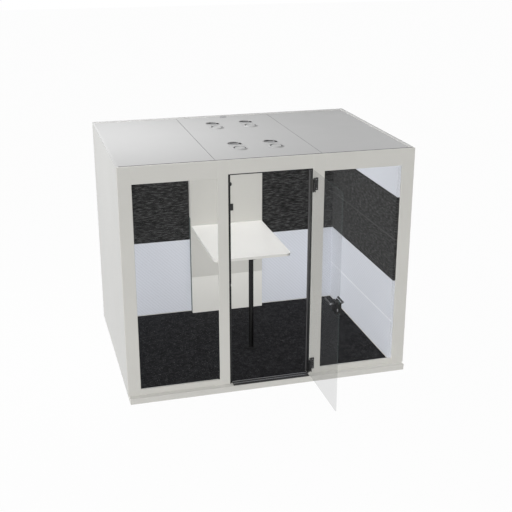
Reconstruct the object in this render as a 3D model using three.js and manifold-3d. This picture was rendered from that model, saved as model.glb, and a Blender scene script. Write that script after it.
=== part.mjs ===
// Acoustic office pod with a glazed front, a swing door and a standing-height table inside.
// Millimetres, +Z up. X runs across the front and Y from the front to the rear.
// The origin is on the floor, under the middle of the body.

import * as THREE from 'three';
import { mergeVertices } from 'three/addons/utils/BufferGeometryUtils.js';
import Module from 'manifold-3d';

const wasm = await Module();
wasm.setup();

// Fits
const fitGap = 0.3;
const seam = 2;

// Body
const bodyWidth = 2815;
const bodyDepth = 1985;
const bodyHeight = 2240;
const baseHeight = 60;
const baseStep = 56;
const baseInset = 12;
const carpetThickness = 8;
const wallThickness = 42;
const liningThickness = 80;
const rimWidth = 20;
const rimDrop = 1;

// Roof and ceiling
const roofThickness = 40;
const roofDrop = 13;
const ceilingThickness = 20;
const lightWidth = 600;
const lightDepth = 300;
const lightDrop = 4;
const inletWidth = 70;
const inletDepth = 36;
const inletHeight = 11;
const inletInset = 43;

// Vents
const ventPitch = 360;
const ventFrontInset = 669;
const ventRearInset = 361;
const valveSpacing = 200;
const valveRimRadius = 72;
const valveRimWidth = 10;
const valveRimHeight = 9;
const valveDiscRadius = 48;
const valveDiscHeight = 7;
const ventFlangeRadius = 80;
const ventFlangeHeight = 3;
const ductRadius = 72;
const ductWall = 3;
const capRadius = 50;
const capThickness = 4;
const capDrop = 6;
const spokeWidth = 8;
const spokeCount = 4;
const motorRadius = 18;
const motorHeight = 10;
const shaftRadius = 4;
const rotorBore = 4.4;
const rotorRadius = 64;
const rotorHubRadius = 21;
const rotorHeight = 18;
const bladeCount = 7;
const bladeThickness = 2.4;
const bladeChord = 20;
const bladePitch = 38;

// Front frame
const faceThickness = 16;
const frameDepth = 95;
const cornerFace = 123.5;
const mullionFace = 110;
const doorOpening = 800;
const doorHeadHeight = 131;
const windowHeadHeight = 164;
const sillHeight = 57;
const sillCoreHeight = 40;
const coreSetback = 20;
const cornerSetback = 34;
const paneThickness = 10;
const paneLap = 15;

// Doorway
const linerThickness = 13;
const linerSetback = 15;
const thresholdFront = 50;
const thresholdBack = 35;
const thresholdHeight = 8;

// Door leaf
const openAngle = 90;
const leafThickness = 10;
const leafInset = 2;
const leafGap = 5;
const leafTopGap = 4;
const leafBottomGap = 20;

// Hinges
const hingeOffset = 5;
const hingeProud = 12;
const hingeHeight = 120;
const hingeLow = 116;
const hingeTopDrop = 149;
const barrelRadius = 9;
const pinRadius = 4;
const pinClearance = 0.5;
const fixedLeafWidth = 32;
const fixedLeafThickness = 6;
const clampWidth = 54;
const clampThickness = 8;
const clampStudRadius = 6;
const clampStudSpacing = 64;
const studClearance = 1;

// Lock and levers
const handleHeight = 1067;
const backset = 67;
const lockWidth = 100;
const lockDepth = 16;
const lockAbove = 28;
const lockBelow = 82;
const lockGrip = 15;
const lockEdgeGap = 3;
const spindleSide = 8;
const spindleClearance = 1;
const rosetteRadius = 19;
const rosetteHeight = 3;
const leverRadius = 9.5;
const leverReach = 38;
const leverLength = 140;
const socketWall = 3;
const boltDrop = 40;
const boltHeight = 22;
const boltThickness = 9;
const boltLength = 40;
const boltThrow = 9.5;
const boltClearance = 0.5;
const boltTravel = 9;
const strikeClearance = 2;

// Media wall and table
const mediaWidth = 824;
const mediaDepth = 75;
const mediaSeamHeight = 440;
const socketWidth = 150;
const socketHeight = 80;
const socketDepth = 12;
const socketCentre = 1237;
const tableWidth = 810;
const tableLength = 1143;
const tableHeight = 1053;
const tableThickness = 28;
const tableCorner = 60;
const legRadius = 24.5;
const legInset = 96;
const legPlateRadius = 90;
const legFootRadius = 70;
const legPlateThickness = 6;
const bracketWidth = 660;
const bracketArm = 80;
const bracketDrop = 60;
const bracketThickness = 5;

// Shades read from the photograph
const lacquer = { color: 0xc3c2be, roughness: 0.55, metalness: 0 };
const lacquerSide = { color: 0xd6d6d4, roughness: 0.55, metalness: 0 };
const roofSheet = { color: 0xc7c7c7, roughness: 0.45, metalness: 0.1 };
const mediaBoard = { color: 0xc3c2bd, roughness: 0.6, metalness: 0 };
const whiteBoard = { color: 0xe6e5e1, roughness: 0.5, metalness: 0 };
const lightFabric = { color: 0xc0c3ca, roughness: 0.95, metalness: 0 };
const darkFabric = { color: 0x383838, roughness: 0.95, metalness: 0 };
const carpetPile = { color: 0x262628, roughness: 1, metalness: 0 };
const blackMetal = { color: 0x1c1c1c, roughness: 0.4, metalness: 0.6 };
const blackPlastic = { color: 0x202020, roughness: 0.5, metalness: 0 };
const steel = { color: 0xb5b6b8, roughness: 0.3, metalness: 0.9 };
const clearGlass = { color: 0xdfe6e6, roughness: 0.05, metalness: 0, transparent: true, opacity: 0.15 };
const diffuser = { color: 0xf4f2ea, roughness: 0.6, metalness: 0 };

// Derived places
const halfWidth = bodyWidth / 2;
const frontY = -bodyDepth / 2;
const rearY = bodyDepth / 2;
const topZ = baseHeight + bodyHeight;
const wallTopZ = topZ - rimDrop;
const roofTopZ = wallTopZ - roofDrop;
const roofBottomZ = roofTopZ - roofThickness;
const ceilingZ = roofBottomZ - fitGap - ceilingThickness;
const standZ = baseHeight + fitGap;
const ledgeZ = roofBottomZ - fitGap;
const wallInnerX = halfWidth - wallThickness;
const liningFaceX = wallInnerX - fitGap - liningThickness;
const wallInnerY = rearY - wallThickness;
const liningFaceY = wallInnerY - fitGap - liningThickness;
const faceBackY = frontY + faceThickness;
const frameBackY = frontY + frameDepth;
const halfDoor = doorOpening / 2;
const mullionOuterX = halfDoor + mullionFace;
const windowOuterX = halfWidth - cornerFace;
const mediaFaceY = liningFaceY - fitGap - mediaDepth;
const doorHeadZ = topZ - doorHeadHeight;
const windowHeadZ = topZ - windowHeadHeight;
const sillZ = baseHeight + sillHeight;

const pod = new THREE.Group();

// Adds one named piece with its own material.
function piece(parent, name, geometry, shade) {
  const mesh = new THREE.Mesh(geometry, new THREE.MeshStandardMaterial(shade));
  mesh.name = name;
  parent.add(mesh);
  return mesh;
}

// A box between two limits on each axis.
function block([x0, x1], [y0, y1], [z0, z1]) {
  const box = new THREE.BoxGeometry(x1 - x0, y1 - y0, z1 - z0);
  return box.translate((x0 + x1) / 2, (y0 + y1) / 2, (z0 + z1) / 2);
}

// A round bar between two heights.
function roundBar(x, y, radius, [z0, z1], facets = 24) {
  const bar = new THREE.CylinderGeometry(radius, radius, z1 - z0, facets);
  return bar.rotateX(Math.PI / 2).translate(x, y, (z0 + z1) / 2);
}

// A solid of revolution about a vertical axis, from [radius, height] points.
function turned(points, x, y, facets = 32) {
  const profile = points.map(([radius, height]) => new THREE.Vector2(radius, height));
  return new THREE.LatheGeometry(profile, facets).rotateX(Math.PI / 2).translate(x, y, 0);
}

// A ring of rectangular section.
function ring(x, y, inner, outer, [z0, z1], facets = 32) {
  return turned([[inner, z0], [outer, z0], [outer, z1], [inner, z1], [inner, z0]], x, y, facets);
}

function toSolid(geometry) {
  const bare = geometry.clone();
  bare.deleteAttribute('normal');
  bare.deleteAttribute('uv');
  const merged = mergeVertices(bare, 1e-4);
  return new wasm.Manifold(new wasm.Mesh({
    numProp: 3,
    vertProperties: new Float32Array(merged.attributes.position.array),
    triVerts: new Uint32Array(merged.index.array),
  }));
}

function toGeometry(solid) {
  const mesh = solid.getMesh();
  const geometry = new THREE.BufferGeometry();
  geometry.setAttribute('position', new THREE.BufferAttribute(mesh.vertProperties, 3));
  geometry.setIndex(new THREE.BufferAttribute(mesh.triVerts, 1));
  return geometry;
}

function join(...geometries) {
  return toGeometry(geometries.map(toSolid).reduce((whole, next) => whole.add(next)));
}

function cut(geometry, ...tools) {
  return toGeometry(tools.map(toSolid).reduce((whole, tool) => whole.subtract(tool), toSolid(geometry)));
}

// Limits mirrored to the left for side -1 and kept for side 1.
function mirrored(side, near, far) {
  return side < 0 ? [-far, -near] : [near, far];
}

const sides = [[-1, 'left'], [1, 'right']];

// Base platform with the carpet let into it, and the threshold plate in the doorway
function addBase() {
  const doorTabX = halfDoor - linerThickness - fitGap;
  const carpetFrontY = frameBackY + fitGap;
  const tabFrontY = frontY + thresholdBack + fitGap;
  const carpetShape = (grow, thickness) => {
    const outline = new THREE.Shape();
    outline.moveTo(-liningFaceX - grow, carpetFrontY - grow);
    outline.lineTo(-doorTabX - grow, carpetFrontY - grow);
    outline.lineTo(-doorTabX - grow, tabFrontY - grow);
    outline.lineTo(doorTabX + grow, tabFrontY - grow);
    outline.lineTo(doorTabX + grow, carpetFrontY - grow);
    outline.lineTo(liningFaceX + grow, carpetFrontY - grow);
    outline.lineTo(liningFaceX + grow, liningFaceY + grow);
    outline.lineTo(-liningFaceX - grow, liningFaceY + grow);
    outline.closePath();
    return new THREE.ExtrudeGeometry(outline, { depth: thickness, bevelEnabled: false });
  };
  const baseX = halfWidth - baseInset;
  const slab = block([-baseX, baseX], [frontY - baseStep, rearY - baseInset], [0, baseHeight]);
  const pocketZ = baseHeight - carpetThickness - fitGap;
  const pocket = carpetShape(fitGap / 2, carpetThickness * 2).translate(0, 0, pocketZ);
  piece(pod, 'base_platform', cut(slab, pocket), lacquer);
  const carpet = carpetShape(-fitGap / 2, carpetThickness).translate(0, 0, baseHeight - carpetThickness);
  piece(pod, 'carpet', carpet, carpetPile);
  const plateY = [frontY - thresholdFront, frontY + thresholdBack];
  const plate = block([-doorTabX, doorTabX], plateY, [standZ, standZ + thresholdHeight]);
  piece(pod, 'threshold_plate', plate, blackMetal);
}

// Outer walls, each with a lip that stands up round the roof
function addWalls() {
  const bodyZ = [standZ, ledgeZ];
  const lipZ = [ledgeZ - rimWidth, wallTopZ];
  const sideY = [faceBackY + fitGap, rearY];
  for (const [side, label] of sides) {
    const panel = block(mirrored(side, wallInnerX, halfWidth), sideY, bodyZ);
    const lip = block(mirrored(side, halfWidth - rimWidth, halfWidth), sideY, lipZ);
    const cornerLip = block(mirrored(side, wallInnerX, halfWidth), [rearY - rimWidth, rearY], lipZ);
    piece(pod, `side_wall_${label}`, join(panel, lip, cornerLip), lacquerSide);
  }
  const rearX = [-wallInnerX + fitGap, wallInnerX - fitGap];
  const rearPanel = block(rearX, [wallInnerY, rearY], bodyZ);
  const rearLip = block(rearX, [rearY - rimWidth, rearY], lipZ);
  piece(pod, 'rear_wall', join(rearPanel, rearLip), lacquerSide);
}

// Fabric lining: rows on the side walls and taller fields on the rear wall, from the floor up
function addLining() {
  const rowShades = [lightFabric, lightFabric, darkFabric, darkFabric, lightFabric];
  const rowPitch = (ceilingZ - fitGap - standZ) / rowShades.length;
  const rowEdge = (row) => standZ + row * rowPitch;
  const rowZ = (first, last) => [rowEdge(first) + seam / 2, rowEdge(last + 1) - seam / 2];
  const sideY = [frameBackY + fitGap, wallInnerY - fitGap];
  for (const [side, label] of sides) {
    const sideX = mirrored(side, liningFaceX, wallInnerX - fitGap);
    rowShades.forEach((shade, row) => {
      piece(pod, `side_lining_${label}_${row + 1}`, block(sideX, sideY, rowZ(row, row)), shade);
    });
  }
  const rearX = [-liningFaceX + fitGap, liningFaceX - fitGap];
  const fieldY = [liningFaceY, wallInnerY - fitGap];
  const topRow = rowShades.length - 1;
  const fields = [['lower', 0, 1], ['middle', 2, 3], ['top', topRow, topRow]];
  for (const [label, first, last] of fields) {
    piece(pod, `rear_lining_${label}`, block(rearX, fieldY, rowZ(first, last)), rowShades[first]);
  }
}

// Centres of the four vents, by name
function ventPlaces() {
  const places = [];
  for (const [row, y] of [['front', frontY + ventFrontInset], ['rear', rearY - ventRearInset]]) {
    for (const [side, label] of sides) {
      places.push({ label: `${row}_${label}`, x: side * ventPitch / 2, y });
    }
  }
  return places;
}

// Three roof panels, the ceiling under them, the light and the mains inlet
function addRoof() {
  const seamX = mullionOuterX;
  const panelX = halfWidth - rimWidth - fitGap;
  const panelY = [faceBackY + fitGap, rearY - rimWidth - fitGap];
  const panelZ = [roofBottomZ, roofTopZ];
  for (const [side, label] of sides) {
    const panel = block(mirrored(side, seamX + seam / 2, panelX), panelY, panelZ);
    piece(pod, `roof_panel_${label}`, panel, roofSheet);
  }
  const holeZ = [ceilingZ - roofThickness, topZ];
  const holes = ventPlaces().map(({ x, y }) => roundBar(x, y, ductRadius + fitGap, holeZ, 32));
  const centre = block([-seamX + seam / 2, seamX - seam / 2], panelY, panelZ);
  piece(pod, 'roof_panel_centre', cut(centre, ...holes), roofSheet);

  const ceilingX = liningFaceX - fitGap;
  const ceilingY = [frameBackY + fitGap, liningFaceY - fitGap];
  const ceiling = block([-ceilingX, ceilingX], ceilingY, [ceilingZ, ledgeZ]);
  const lightY = (ventPlaces()[0].y + ventPlaces()[3].y) / 2;
  const lightBox = (grow, limitsZ) => block(
    [-lightWidth / 2 - grow, lightWidth / 2 + grow],
    [lightY - lightDepth / 2 - grow, lightY + lightDepth / 2 + grow],
    limitsZ,
  );
  const cutBelow = ceilingZ - ceilingThickness;
  const lightHole = lightBox(fitGap, [cutBelow, ledgeZ + ceilingThickness]);
  piece(pod, 'ceiling_panel', cut(ceiling, lightHole, ...holes), whiteBoard);
  piece(pod, 'ceiling_light', lightBox(0, [ceilingZ - lightDrop, ledgeZ]), diffuser);

  const inletY = rearY - rimWidth - inletInset;
  const inlet = block(
    [-inletWidth / 2, inletWidth / 2],
    [inletY - inletDepth / 2, inletY + inletDepth / 2],
    [roofTopZ + fitGap, roofTopZ + fitGap + inletHeight],
  );
  piece(pod, 'mains_inlet', inlet, blackPlastic);
}

// One vent: a flange plate with a fan duct and, in front of it, a raised inlet valve.
// A sunk cap on spokes carries the motor and its shaft in the duct.
function ventHousing(x, y) {
  const flangeZ = [roofTopZ + fitGap, roofTopZ + fitGap + ventFlangeHeight];
  const capZ = [roofTopZ - capDrop - capThickness, roofTopZ - capDrop];
  const motorZ = [capZ[0] - motorHeight, capZ[0] + capThickness / 2];
  const shaftZ = [ceilingZ, motorZ[0] + motorHeight / 2];
  const inner = ductRadius - ductWall;
  const valveY = y - valveSpacing;
  const bridge = block([x - ventFlangeRadius, x + ventFlangeRadius], [valveY, y], flangeZ);
  const plate = join(
    roundBar(x, y, ventFlangeRadius, flangeZ, 32),
    roundBar(x, valveY, ventFlangeRadius, flangeZ, 32),
    bridge,
  );
  const mouth = roundBar(x, y, inner, [flangeZ[0] - ventFlangeHeight, flangeZ[1] + ventFlangeHeight], 32);
  const rimZ = [flangeZ[0] + ventFlangeHeight / 2, flangeZ[0] + valveRimHeight];
  const discZ = [rimZ[0], flangeZ[0] + valveDiscHeight];
  const shell = [
    cut(plate, mouth),
    ring(x, y, inner, ductRadius, [ceilingZ, flangeZ[1]]),
    ring(x, valveY, valveRimRadius - valveRimWidth, valveRimRadius, rimZ),
    roundBar(x, valveY, valveDiscRadius, discZ, 32),
    roundBar(x, y, capRadius, capZ, 32),
    roundBar(x, y, motorRadius, motorZ),
    roundBar(x, y, shaftRadius, shaftZ, 16),
  ];
  for (let spoke = 0; spoke < spokeCount; spoke += 1) {
    const reach = [capRadius - capThickness, ductRadius - ductWall / 2];
    const bar = block(reach, [-spokeWidth / 2, spokeWidth / 2], capZ);
    shell.push(bar.rotateZ((spoke + 0.5) * 2 * Math.PI / spokeCount).translate(x, y, 0));
  }
  return join(...shell);
}

// One rotor: a bored hub with pitched blades, hung on the shaft under the motor
function fanRotor(x, y) {
  const motorBottomZ = roofTopZ - capDrop - capThickness - motorHeight;
  const hubZ = [motorBottomZ - fitGap - rotorHeight, motorBottomZ - fitGap];
  const middleZ = (hubZ[0] + hubZ[1]) / 2;
  const parts = [ring(x, y, rotorBore, rotorHubRadius, hubZ, 24)];
  const root = rotorHubRadius - bladeThickness * 2;
  for (let blade = 0; blade < bladeCount; blade += 1) {
    const sheet = new THREE.BoxGeometry(rotorRadius - root, bladeChord, bladeThickness);
    sheet.rotateX(THREE.MathUtils.degToRad(bladePitch)).translate((rotorRadius + root) / 2, 0, 0);
    parts.push(sheet.rotateZ(blade * 2 * Math.PI / bladeCount).translate(x, y, middleZ));
  }
  return join(...parts);
}

function addVents() {
  for (const { label, x, y } of ventPlaces()) {
    piece(pod, `vent_housing_${label}`, ventHousing(x, y), roofSheet);
    piece(pod, `fan_rotor_${label}`, fanRotor(x, y), blackPlastic);
  }
}

// Posts: a face plate over the full height and a core behind it that ends under the roof
function framePost(side, faceX, coreX) {
  const face = block(mirrored(side, ...faceX), [frontY, faceBackY], [standZ, topZ]);
  const core = block(mirrored(side, ...coreX), [frontY + faceThickness / 2, frameBackY], [standZ, ledgeZ]);
  return join(face, core);
}

// Rails between posts, with a face plate and a set-back core
function frameRail(side, limitsX, faceZ, coreZ) {
  const face = block(mirrored(side, ...limitsX), [frontY, faceBackY], faceZ);
  const core = block(mirrored(side, ...limitsX), [frontY + faceThickness / 2, frameBackY], coreZ);
  return join(face, core);
}

// The glazed front: posts, rails and the two fixed panes
function addFront() {
  const bayX = [mullionOuterX + fitGap, windowOuterX - fitGap];
  const paneX = [mullionOuterX - paneLap, windowOuterX + paneLap];
  const paneY = [faceBackY + fitGap, faceBackY + fitGap + paneThickness];
  const paneZ = [sillZ - paneLap, windowHeadZ + paneLap];
  const cornerCore = [windowOuterX + cornerSetback, wallInnerX - fitGap];
  const mullionCore = [halfDoor, mullionOuterX - coreSetback];
  for (const [side, label] of sides) {
    const doorSide = side < 0 ? 'latch' : 'hinge';
    piece(pod, `corner_post_${label}`, framePost(side, [windowOuterX, halfWidth], cornerCore), lacquer);
    piece(pod, `${doorSide}_post`, framePost(side, [halfDoor, mullionOuterX], mullionCore), lacquer);
    const headCore = [windowHeadZ + coreSetback, ledgeZ];
    piece(pod, `window_head_${label}`, frameRail(side, bayX, [windowHeadZ, topZ], headCore), lacquer);
    const sillCore = [standZ, baseHeight + sillCoreHeight];
    piece(pod, `window_sill_${label}`, frameRail(side, bayX, [standZ, sillZ], sillCore), lacquer);
    piece(pod, `window_pane_${label}`, block(mirrored(side, ...paneX), paneY, paneZ), clearGlass);
  }
  const headX = [-halfDoor + fitGap, halfDoor - fitGap];
  piece(pod, 'door_head', frameRail(1, headX, [doorHeadZ, topZ], [doorHeadZ, ledgeZ]), lacquer);
}

// Door measures along the leaf (u) and through it (v) from the hinge axis, door closed
const hingeX = halfDoor + hingeOffset;
const hingeY = frontY - hingeProud;
const leafU = [-(doorOpening - leafGap + hingeOffset), -(leafGap + hingeOffset)];
const leafV = [hingeProud + leafInset, hingeProud + leafInset + leafThickness];
const leafZ = [baseHeight + leafBottomGap, doorHeadZ - leafTopGap];
const handleZ = baseHeight + handleHeight;
const spindleU = leafU[0] + backset;
const linerU = -(doorOpening + hingeOffset) + linerThickness;
const lockV = [leafV[0] - fitGap - lockDepth, leafV[1] + fitGap + lockDepth];
const lockInnerU = linerU + lockEdgeGap;
const boltZ = handleZ - boltDrop;
const boltMiddleV = leafV[1] + fitGap + lockDepth / 2;
const boltTipU = lockInnerU - boltThrow;
const hingeCentres = [['lower', baseHeight + hingeLow], ['upper', doorHeadZ - hingeTopDrop]];

// Black frame lining the doorway behind the closed leaf, with the strike slot open to the front
function addDoorFrame() {
  const outerX = halfDoor - fitGap;
  const innerX = halfDoor - linerThickness;
  const depth = [frontY + linerSetback, frameBackY];
  const headZ = [doorHeadZ - linerThickness, doorHeadZ - fitGap];
  const jamb = (side) => block(mirrored(side, innerX, outerX), depth, [standZ, headZ[1]]);
  const head = block([-outerX, outerX], depth, headZ);
  const boltBackV = boltMiddleV + boltThickness / 2;
  const slot = block(
    [hingeX + boltTipU - strikeClearance, -innerX + linerThickness],
    [frontY, hingeY + boltBackV + strikeClearance],
    [boltZ - boltHeight / 2 - strikeClearance, boltZ + boltHeight / 2 + strikeClearance],
  );
  piece(pod, 'door_frame', cut(join(jamb(-1), jamb(1), head), slot), blackMetal);
}

// Fixed hinge leaf on the post: plate, middle knuckle and the pin
function fixedHingeLeaf(z) {
  const plateX = [barrelRadius + fitGap * 2, barrelRadius + fixedLeafWidth];
  const plateY = [hingeProud - fitGap - fixedLeafThickness, hingeProud - fitGap];
  const half = hingeHeight / 2;
  const knuckle = hingeHeight / 6;
  const plate = block(plateX, plateY, [z - half, z + half]);
  const web = block([0, plateX[0] + fixedLeafThickness], [0, plateY[1]], [z - knuckle, z + knuckle]);
  const barrel = roundBar(0, 0, barrelRadius, [z - knuckle, z + knuckle]);
  const pin = roundBar(0, 0, pinRadius, [z - half, z + half], 16);
  return join(plate, web, barrel, pin);
}

// Moving hinge leaf: two plates clamping the glass through two studs, with the outer knuckles
function movingHingeLeaf(z) {
  const half = hingeHeight / 2;
  const knuckle = hingeHeight / 6 + seam / 2;
  const plateZ = [z - half, z + half];
  const outerU = [leafU[1] - clampWidth, leafU[1]];
  const innerU = [outerU[0], -(hingeOffset + linerThickness + lockEdgeGap)];
  const outerV = [leafV[0] - fitGap - clampThickness, leafV[0] - fitGap];
  const innerV = [leafV[1] + fitGap, leafV[1] + fitGap + clampThickness];
  const parts = [block(outerU, outerV, plateZ), block(innerU, innerV, plateZ)];
  for (const studZ of clampStudHeights(z)) {
    const stud = new THREE.CylinderGeometry(clampStudRadius, clampStudRadius, innerV[1] - outerV[0], 16);
    parts.push(stud.translate(clampStudU(), (innerV[1] + outerV[0]) / 2, studZ));
  }
  const bores = [];
  for (const limits of [[z - half, z - knuckle], [z + knuckle, z + half]]) {
    parts.push(roundBar(0, 0, barrelRadius, limits));
    const armV = [outerV[0] - clampThickness / 2, outerV[0] + clampThickness / 4];
    parts.push(block([outerU[1] - clampThickness, 0], armV, limits));
    bores.push(roundBar(0, 0, pinRadius + pinClearance, [limits[0] - seam, limits[1] + seam], 16));
  }
  return cut(join(...parts), ...bores);
}

function clampStudU() {
  return leafU[1] - clampWidth / 2;
}

function clampStudHeights(z) {
  return [z - clampStudSpacing / 2, z + clampStudSpacing / 2];
}

// Notch in the leaf's free edge that the lock case fills
function lockNotch(grow) {
  return block(
    [leafU[0] - lockGrip, lockInnerU + lockWidth - lockGrip + grow],
    [leafV[0] - lockDepth, leafV[1] + lockDepth],
    [handleZ - lockBelow + lockGrip - grow, handleZ + lockAbove - lockGrip + grow],
  );
}

function doorLeaf() {
  const holes = [lockNotch(fitGap)];
  for (const [, z] of hingeCentres) {
    for (const studZ of clampStudHeights(z)) {
      const radius = clampStudRadius + studClearance;
      const hole = new THREE.CylinderGeometry(radius, radius, leafThickness * 3, 16);
      holes.push(hole.translate(clampStudU(), leafV[0], studZ));
    }
  }
  return cut(block(leafU, leafV, leafZ), ...holes);
}

// Lock case gripping the notch from both faces, with the spindle hole and the bolt's pocket
function lockCase() {
  const caseZ = [handleZ - lockBelow, handleZ + lockAbove];
  const endU = lockInnerU + lockWidth;
  const outer = block([leafU[0] + fitGap, endU], [lockV[0], leafV[0] - fitGap], caseZ);
  const inner = block([lockInnerU, endU], [leafV[1] + fitGap, lockV[1]], caseZ);
  const core = block(
    [lockInnerU, endU - lockGrip],
    [leafV[0] - lockDepth / 2, leafV[1] + lockDepth / 2],
    [caseZ[0] + lockGrip, caseZ[1] - lockGrip],
  );
  const rosettes = lockV.map((v) => crossBar(rosetteRadius, [v - rosetteHeight, v + rosetteHeight], 24));
  const holeRadius = spindleSide * Math.SQRT1_2 + spindleClearance;
  const hole = crossBar(holeRadius, [lockV[0] - lockDepth, lockV[1] + lockDepth], 16);
  const pocket = block(
    [boltTipU, boltTipU + boltLength + boltTravel + boltClearance * 2],
    [boltMiddleV - boltThickness / 2 - boltClearance, boltMiddleV + boltThickness / 2 + boltClearance],
    [boltZ - boltHeight / 2 - boltClearance, boltZ + boltHeight / 2 + boltClearance],
  );
  return cut(join(outer, inner, core, ...rosettes), hole, pocket);
}

// A round bar through the leaf on the spindle axis
function crossBar(radius, [v0, v1], facets) {
  const bar = new THREE.CylinderGeometry(radius, radius, v1 - v0, facets);
  return bar.translate(spindleU, (v0 + v1) / 2, handleZ);
}

// A lever from its rosette out to the grip that points to the hinges
function lever(rootV, direction) {
  const gripV = rootV + direction * leverReach;
  const neck = crossBar(leverRadius, [Math.min(rootV, gripV), Math.max(rootV, gripV)], 20);
  const grip = new THREE.CylinderGeometry(leverRadius, leverRadius, leverLength, 20);
  grip.rotateZ(Math.PI / 2).translate(spindleU + leverLength / 2, gripV, handleZ);
  const elbow = new THREE.SphereGeometry(leverRadius, 20, 12).translate(spindleU, gripV, handleZ);
  return join(neck, grip, elbow);
}

function squareBar(side, limitsV) {
  return block(
    [spindleU - side / 2, spindleU + side / 2],
    limitsV,
    [handleZ - side / 2, handleZ + side / 2],
  );
}

// The door stands open as photographed, turned about its hinge axis
function addDoor() {
  const fixed = new THREE.Group();
  fixed.position.set(hingeX, hingeY, 0);
  pod.add(fixed);
  const swing = new THREE.Group();
  swing.position.set(hingeX, hingeY, 0);
  swing.rotation.z = THREE.MathUtils.degToRad(openAngle);
  pod.add(swing);

  for (const [label, z] of hingeCentres) {
    piece(fixed, `hinge_fixed_leaf_${label}`, fixedHingeLeaf(z), blackMetal);
    piece(swing, `hinge_moving_leaf_${label}`, movingHingeLeaf(z), blackMetal);
  }
  piece(swing, 'door_leaf', doorLeaf(), clearGlass);
  piece(swing, 'lock_case', lockCase(), blackMetal);

  const insideRootV = lockV[1] + rosetteHeight + fitGap;
  const outsideRootV = lockV[0] - rosetteHeight - fitGap;
  const spindleEndV = outsideRootV - leverReach + leverRadius + socketWall;
  const spindle = squareBar(spindleSide, [spindleEndV, insideRootV + leverReach / 2]);
  piece(swing, 'lever_inside', join(lever(insideRootV, 1), spindle), blackMetal);
  const socket = squareBar(spindleSide + fitGap * 2, [spindleEndV - fitGap, outsideRootV + seam]);
  piece(swing, 'lever_outside', cut(lever(outsideRootV, -1), socket), blackMetal);

  const bolt = block(
    [boltTipU, boltTipU + boltLength],
    [boltMiddleV - boltThickness / 2, boltMiddleV + boltThickness / 2],
    [boltZ - boltHeight / 2, boltZ + boltHeight / 2],
  );
  piece(swing, 'latch_bolt', bolt, steel);
}

// Media wall: two covers over the rear lining and a socket plate above the table
function addMedia() {
  const halfMedia = mediaWidth / 2;
  const coverY = [mediaFaceY, liningFaceY - fitGap];
  const seamZ = baseHeight + mediaSeamHeight;
  const lower = block([-halfMedia, halfMedia], coverY, [standZ, seamZ - seam / 2]);
  const upper = block([-halfMedia, halfMedia], coverY, [seamZ + seam / 2, ceilingZ - fitGap]);
  piece(pod, 'media_cover_lower', lower, mediaBoard);
  piece(pod, 'media_cover_upper', upper, mediaBoard);
  const socketZ = baseHeight + socketCentre;
  const socket = block(
    [-socketWidth / 2, socketWidth / 2],
    [mediaFaceY - fitGap - socketDepth, mediaFaceY - fitGap],
    [socketZ - socketHeight / 2, socketZ + socketHeight / 2],
  );
  piece(pod, 'power_socket', socket, blackPlastic);
}

// Standing-height table: rounded front corners, one column in front, a bracket on the media wall
function addTable() {
  const backY = mediaFaceY - fitGap;
  const tableFrontY = backY - tableLength;
  const halfTable = tableWidth / 2;
  const topLowZ = baseHeight + tableHeight - tableThickness;
  const outline = new THREE.Shape();
  outline.moveTo(halfTable, backY);
  outline.lineTo(-halfTable, backY);
  outline.lineTo(-halfTable, tableFrontY + tableCorner);
  outline.absarc(-halfTable + tableCorner, tableFrontY + tableCorner, tableCorner, Math.PI, Math.PI * 1.5);
  outline.lineTo(halfTable - tableCorner, tableFrontY);
  outline.absarc(halfTable - tableCorner, tableFrontY + tableCorner, tableCorner, Math.PI * 1.5, Math.PI * 2);
  outline.closePath();
  const board = new THREE.ExtrudeGeometry(outline, {
    depth: tableThickness,
    bevelEnabled: false,
    curveSegments: 10,
  });
  piece(pod, 'table_top', board.translate(0, 0, topLowZ), whiteBoard);

  const legTopZ = topLowZ - fitGap;
  const leg = turned([
    [0, standZ],
    [legFootRadius, standZ],
    [legFootRadius, standZ + legPlateThickness],
    [legRadius, standZ + legPlateThickness],
    [legRadius, legTopZ - legPlateThickness],
    [legPlateRadius, legTopZ - legPlateThickness],
    [legPlateRadius, legTopZ],
    [0, legTopZ],
  ], 0, tableFrontY + legInset);
  piece(pod, 'table_leg', leg, blackMetal);

  const bracketX = [-bracketWidth / 2, bracketWidth / 2];
  const arm = block(bracketX, [backY - bracketArm, backY], [legTopZ - bracketThickness, legTopZ]);
  const plate = block(bracketX, [backY - bracketThickness, backY], [legTopZ - bracketDrop, legTopZ]);
  piece(pod, 'table_bracket', join(arm, plate), blackMetal);
}

addBase();
addWalls();
addLining();
addRoof();
addVents();
addFront();
addDoorFrame();
addDoor();
addMedia();
addTable();

export default pod;
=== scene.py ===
import math

import bmesh
import bpy
from mathutils import Matrix, Vector


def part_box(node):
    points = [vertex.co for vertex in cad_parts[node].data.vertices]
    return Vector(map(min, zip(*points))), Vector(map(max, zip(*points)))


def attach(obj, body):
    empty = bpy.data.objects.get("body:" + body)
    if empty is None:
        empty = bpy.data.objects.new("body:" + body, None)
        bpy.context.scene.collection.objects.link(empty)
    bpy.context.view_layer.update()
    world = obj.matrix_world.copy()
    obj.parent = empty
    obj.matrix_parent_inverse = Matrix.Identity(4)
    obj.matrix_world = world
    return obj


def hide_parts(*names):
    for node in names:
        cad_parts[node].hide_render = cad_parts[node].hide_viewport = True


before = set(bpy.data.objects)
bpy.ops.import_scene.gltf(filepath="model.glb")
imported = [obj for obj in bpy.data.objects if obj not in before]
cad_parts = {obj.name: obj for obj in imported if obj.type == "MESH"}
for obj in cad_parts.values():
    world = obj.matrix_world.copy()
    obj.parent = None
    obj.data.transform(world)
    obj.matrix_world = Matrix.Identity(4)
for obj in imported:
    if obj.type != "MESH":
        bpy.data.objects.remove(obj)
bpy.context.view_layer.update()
scene = bpy.context.scene

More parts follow.
